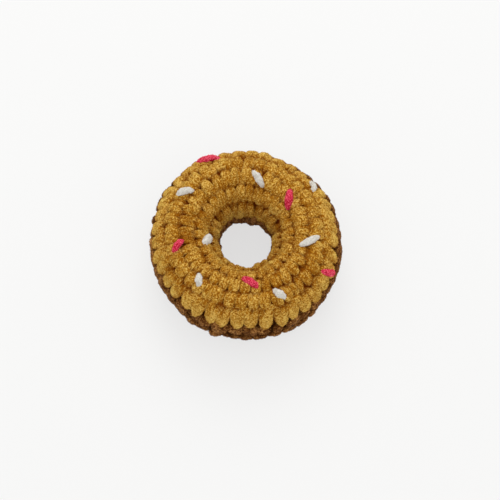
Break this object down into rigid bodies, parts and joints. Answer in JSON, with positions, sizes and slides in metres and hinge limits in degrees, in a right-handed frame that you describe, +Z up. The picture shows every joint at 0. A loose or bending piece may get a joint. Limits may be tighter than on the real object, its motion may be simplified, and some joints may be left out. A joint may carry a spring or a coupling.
{
  "type": "crocheted toy doughnut",
  "caption": "Stuffed ring-shaped doughnut toy, crocheted in thick velvet yarn: a gold upper part with pink and white sprinkle stitches over a brown base.",
  "frame": {"origin": "under the middle of the hole, on the plane that the toy rests on", "axes": "+Z up through the hole, out of the gold side; -Y towards the viewer of the picture"},
  "size_m": [0.0958, 0.0962, 0.0433],
  "materials": {
    "gold_yarn": "matt velvet yarn",
    "brown_yarn": "matt velvet yarn",
    "pink_yarn": "smooth thin yarn",
    "white_yarn": "smooth thin yarn"
  },
  "bodies": {
    "root": {"icing": "gold_yarn", "base": "brown_yarn"}
  },
  "joints": []
}
